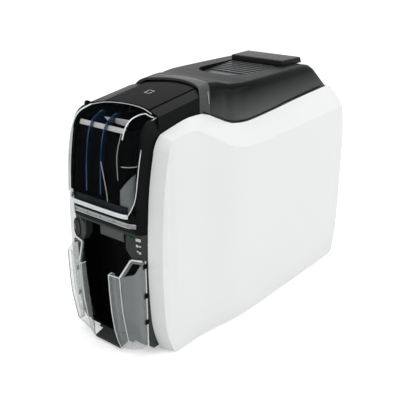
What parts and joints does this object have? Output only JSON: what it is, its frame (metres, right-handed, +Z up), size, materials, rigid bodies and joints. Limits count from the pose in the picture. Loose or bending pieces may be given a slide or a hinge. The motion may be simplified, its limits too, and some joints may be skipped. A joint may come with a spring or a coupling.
{
  "type": "id card printer",
  "caption": "Slim upright card printer with white side panels, clear card cover, ribbed lid pad, front output bay with clear wings and working rollers inside.",
  "frame": {"origin": "middle of the footprint on the surface that the feet stand on", "axes": "+Z up, -Y towards the front with the card cover, +X towards the side seen on the right of the picture"},
  "size_m": [0.155, 0.3743, 0.269],
  "materials": {
    "white_panel": "satin",
    "charcoal_plastic": "satin",
    "collar_plastic": "satin",
    "gloss_black": "gloss",
    "pad_plastic": "satin",
    "clear_smoke": "gloss",
    "clear_plastic": "gloss",
    "blue_guide": "gloss",
    "inner_plastic": "matte",
    "lamp_green": "gloss",
    "rubber": "matte",
    "cleaning_rubber": "satin",
    "sheet_steel": "brushed",
    "shaft_steel": "polished",
    "aluminium": "satin",
    "nylon": "satin",
    "ribbon_film": "gloss",
    "board_green": "satin",
    "socket_metal": "polished"
  },
  "bodies": {
    "printer_body": {"right_panel": "white_panel", "left_panel": "white_panel", "base_tray": "inner_plastic", "rubber_feet": "rubber", "left_frame": "sheet_steel", "right_frame": "sheet_steel", "hopper_housing": "charcoal_plastic", "roof_plate": "gloss_black", "exit_light_strip": "clear_plastic", "lower_fascia": "charcoal_plastic", "throat_liner": "inner_plastic", "output_floor": "inner_plastic", "right_output_wing": "clear_plastic", "left_output_wing": "clear_plastic", "wing_clips": "inner_plastic", "status_lights": "lamp_green", "hinge_pins": "shaft_steel", "feed_motor": "shaft_steel", "drive_belt": "rubber", "card_hopper": "inner_plastic", "takeup_motor": "shaft_steel", "rear_cover": "charcoal_plastic", "rear_screws": "shaft_steel", "power_inlet": "inner_plastic", "data_sockets": "socket_metal", "fan_housing": "inner_plastic", "main_board": "board_green"},
    "input_cover": {"input_cover": "clear_smoke", "cover_lip": "clear_plastic", "cover_ribs": "blue_guide"},
    "top_lid": {"lid_shell": "charcoal_plastic", "lid_collar": "collar_plastic", "grip_block": "charcoal_plastic", "head_carrier": "inner_plastic", "print_head": "aluminium"},
    "release_pad": {"release_pad": "pad_plastic"},
    "latch": {"latch_bar": "sheet_steel"},
    "card_weight": {"card_weight": "inner_plastic"},
    "power_button": {"power_button": "charcoal_plastic"},
    "exit_flap": {"exit_flap": "collar_plastic"},
    "pick": {"pick_roller": "rubber", "pick_shaft": "shaft_steel"},
    "infeed": {"infeed_roller": "rubber", "infeed_shaft": "shaft_steel"},
    "platen": {"platen_roller": "rubber", "platen_shaft": "shaft_steel"},
    "exit_drive": {"exit_roller": "rubber", "exit_shaft": "shaft_steel"},
    "motor_pulley": {"motor_pulley": "nylon"},
    "cleaning": {"cleaning_roller": "cleaning_rubber"},
    "infeed_pinch": {"infeed_pinch_roller": "shaft_steel"},
    "exit_pinch": {"exit_pinch_roller": "shaft_steel"},
    "supply": {"supply_spool": "nylon", "supply_ribbon": "ribbon_film"},
    "takeup": {"takeup_spool": "nylon", "takeup_gear": "nylon"},
    "takeup_pinion": {"takeup_pinion": "nylon"},
    "fan": {"fan_rotor": "inner_plastic"}
  },
  "joints": [
    {"name": "cover_hinge", "type": "hinge", "parent": "printer_body", "child": "input_cover", "pos_m": [0, -0.13902, 0.24896], "axis": [-1, 0, 0], "range_deg": [0, 75]},
    {"name": "lid_hinge", "type": "hinge", "parent": "printer_body", "child": "top_lid", "pos_m": [0, 0.16, 0.22596], "axis": [-1, 0, 0], "range_deg": [0, 60]},
    {"name": "pad_press", "type": "slide", "parent": "top_lid", "child": "release_pad", "axis": [0, 0, -1], "range_m": [0, 0.003], "stiffness_N_per_m": 600, "springref_m": -0.004},
    {"name": "latch_slide", "type": "slide", "parent": "top_lid", "child": "latch", "axis": [0, 1, 0], "range_m": [0, 0.003]},
    {"name": "weight_slide", "type": "slide", "parent": "printer_body", "child": "card_weight", "axis": [0, 0, 1], "range_m": [0, 0.045]},
    {"name": "button_press", "type": "slide", "parent": "printer_body", "child": "power_button", "axis": [0, 1, 0], "range_m": [0, 0.0015], "stiffness_N_per_m": 500, "springref_m": -0.001},
    {"name": "flap_swing", "type": "hinge", "parent": "printer_body", "child": "exit_flap", "pos_m": [0, -0.16043, 0.13281], "axis": [-1, 0, 0], "range_deg": [0, 60]},
    {"name": "pick_spin", "type": "hinge", "parent": "printer_body", "child": "pick", "pos_m": [0, -0.10114, 0.14856], "axis": [1, 0, 0], "continuous": true},
    {"name": "infeed_spin", "type": "hinge", "parent": "printer_body", "child": "infeed", "pos_m": [0, -0.04807, 0.15056], "axis": [1, 0, 0], "continuous": true},
    {"name": "platen_spin", "type": "hinge", "parent": "printer_body", "child": "platen", "pos_m": [0, 0.01012, 0.14956], "axis": [1, 0, 0], "continuous": true},
    {"name": "exit_spin", "type": "hinge", "parent": "printer_body", "child": "exit_drive", "pos_m": [0, -0.13115, 0.12339], "axis": [1, 0, 0], "continuous": true},
    {"name": "motor_spin", "type": "hinge", "parent": "printer_body", "child": "motor_pulley", "pos_m": [0, -0.02794, 0.11029], "axis": [1, 0, 0], "continuous": true},
    {"name": "cleaning_spin", "type": "hinge", "parent": "printer_body", "child": "cleaning", "pos_m": [0, -0.06308, 0.16256], "axis": [1, 0, 0], "continuous": true},
    {"name": "infeed_pinch_spin", "type": "hinge", "parent": "printer_body", "child": "infeed_pinch", "pos_m": [0, -0.04807, 0.16181], "axis": [1, 0, 0], "continuous": true},
    {"name": "exit_pinch_spin", "type": "hinge", "parent": "printer_body", "child": "exit_pinch", "pos_m": [0, -0.13115, 0.13464], "axis": [1, 0, 0], "continuous": true},
    {"name": "supply_spin", "type": "hinge", "parent": "printer_body", "child": "supply", "pos_m": [0, 0.05807, 0.18211], "axis": [1, 0, 0], "continuous": true},
    {"name": "takeup_spin", "type": "hinge", "parent": "printer_body", "child": "takeup", "pos_m": [0, -0.03965, 0.18211], "axis": [1, 0, 0], "continuous": true},
    {"name": "pinion_spin", "type": "hinge", "parent": "printer_body", "child": "takeup_pinion", "pos_m": [0, -0.0609, 0.18211], "axis": [1, 0, 0], "continuous": true},
    {"name": "fan_spin", "type": "hinge", "parent": "printer_body", "child": "fan", "pos_m": [0, 0.18397, 0.1614], "axis": [0, 1, 0], "continuous": true}
  ],
  "couplings": [
    {"joint": "latch_slide", "follows": "pad_press", "ratio": 1},
    {"joint": "infeed_spin", "follows": "pick_spin", "ratio": 1},
    {"joint": "platen_spin", "follows": "pick_spin", "ratio": 1},
    {"joint": "exit_spin", "follows": "pick_spin", "ratio": 1},
    {"joint": "motor_spin", "follows": "pick_spin", "ratio": 1},
    {"joint": "pinion_spin", "follows": "takeup_spin", "ratio": -2.5}
  ]
}
